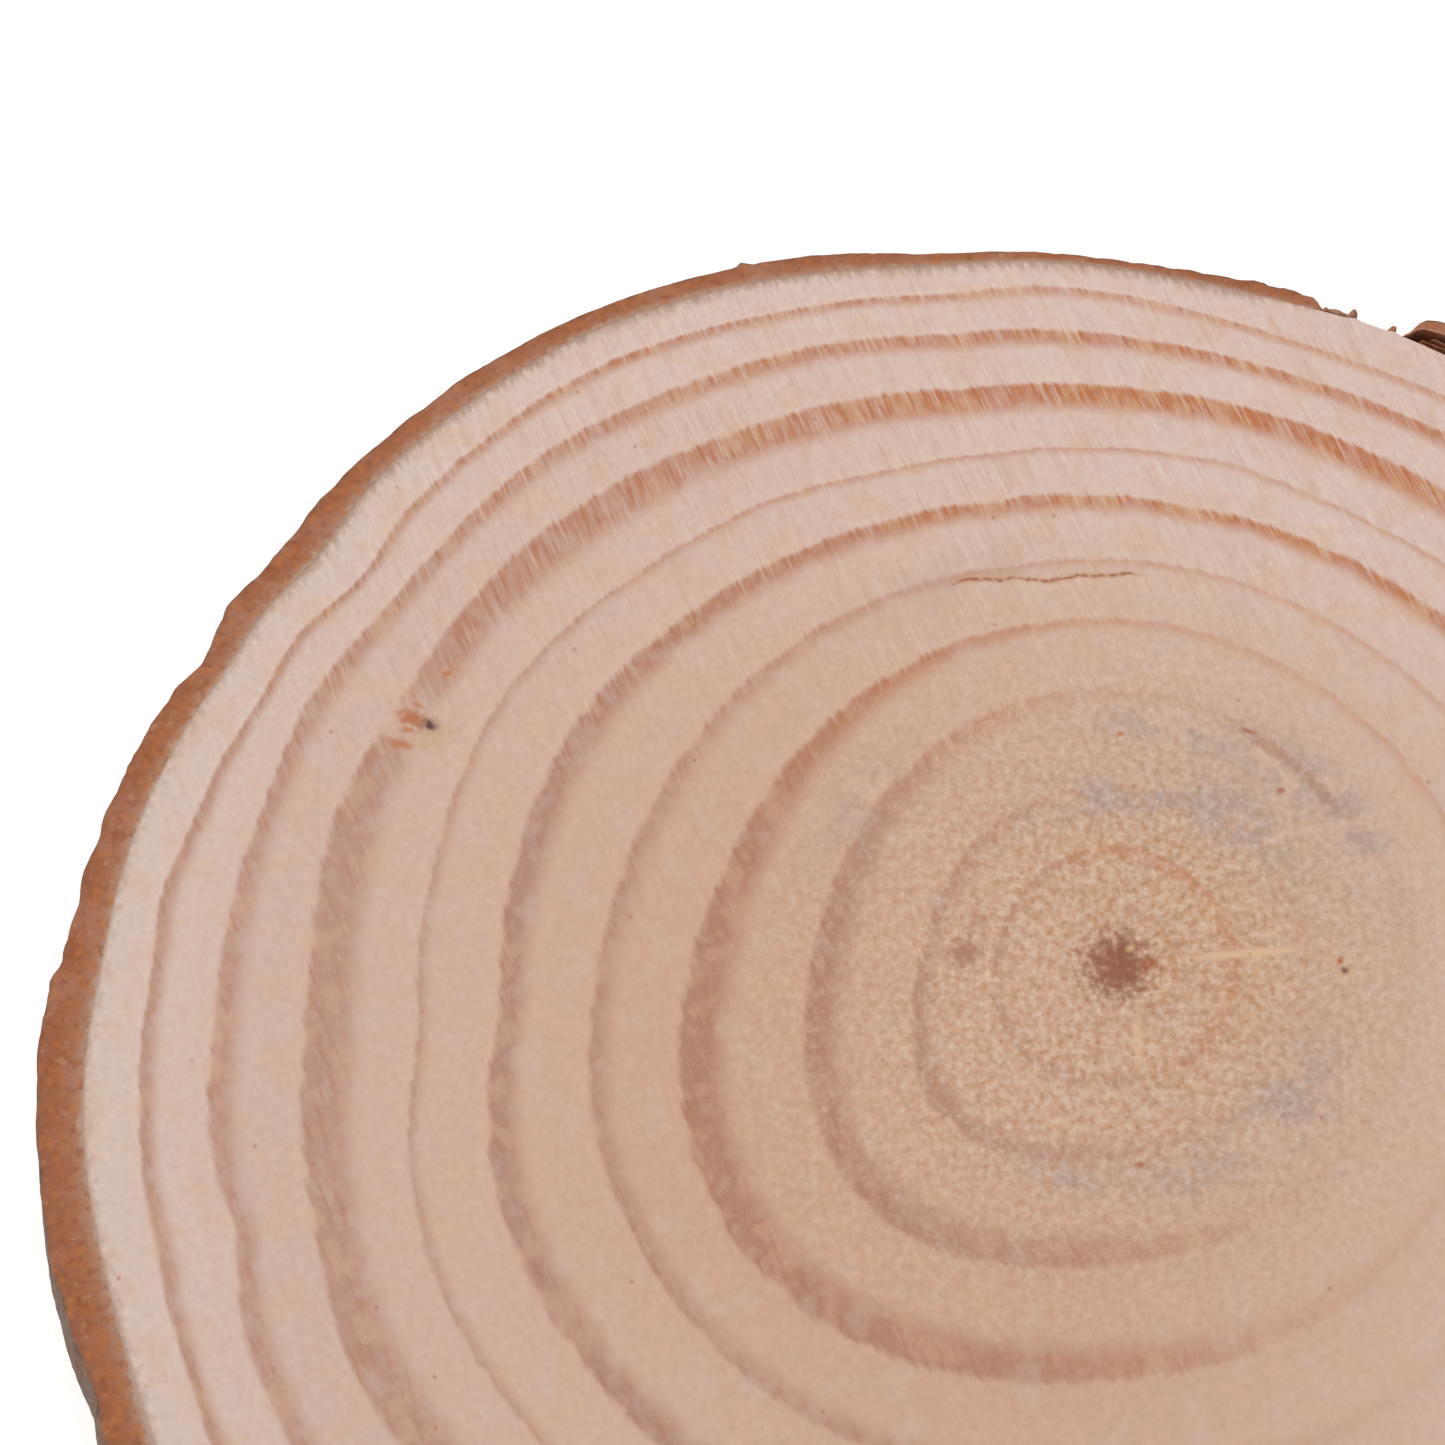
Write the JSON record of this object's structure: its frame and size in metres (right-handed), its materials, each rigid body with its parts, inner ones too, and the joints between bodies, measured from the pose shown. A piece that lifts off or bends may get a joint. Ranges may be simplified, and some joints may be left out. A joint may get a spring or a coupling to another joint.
{
  "type": "wood slice",
  "caption": "Round slice sawn across a young conifer stem, flat on both faces, with annual rings, an off-centre pith and its bark still on, torn away at one spot.",
  "frame": {"origin": "middle of the bounding box, at the height of the lower saw cut", "axes": "+Z out of the upper saw cut, along the stem; +Y towards the slow-grown side, where a piece of bark is missing a little to the +X side; +X to the right in the picture"},
  "size_m": [0.1074, 0.1024, 0.009],
  "materials": {
    "wood": "raw saw-cut end grain, matt, with darker latewood rings",
    "bark": "raw, matt, reddish brown where it is cut, grey-brown and ridged outside"
  },
  "bodies": {
    "root": {"wood": "wood", "bark": "bark"}
  },
  "joints": []
}
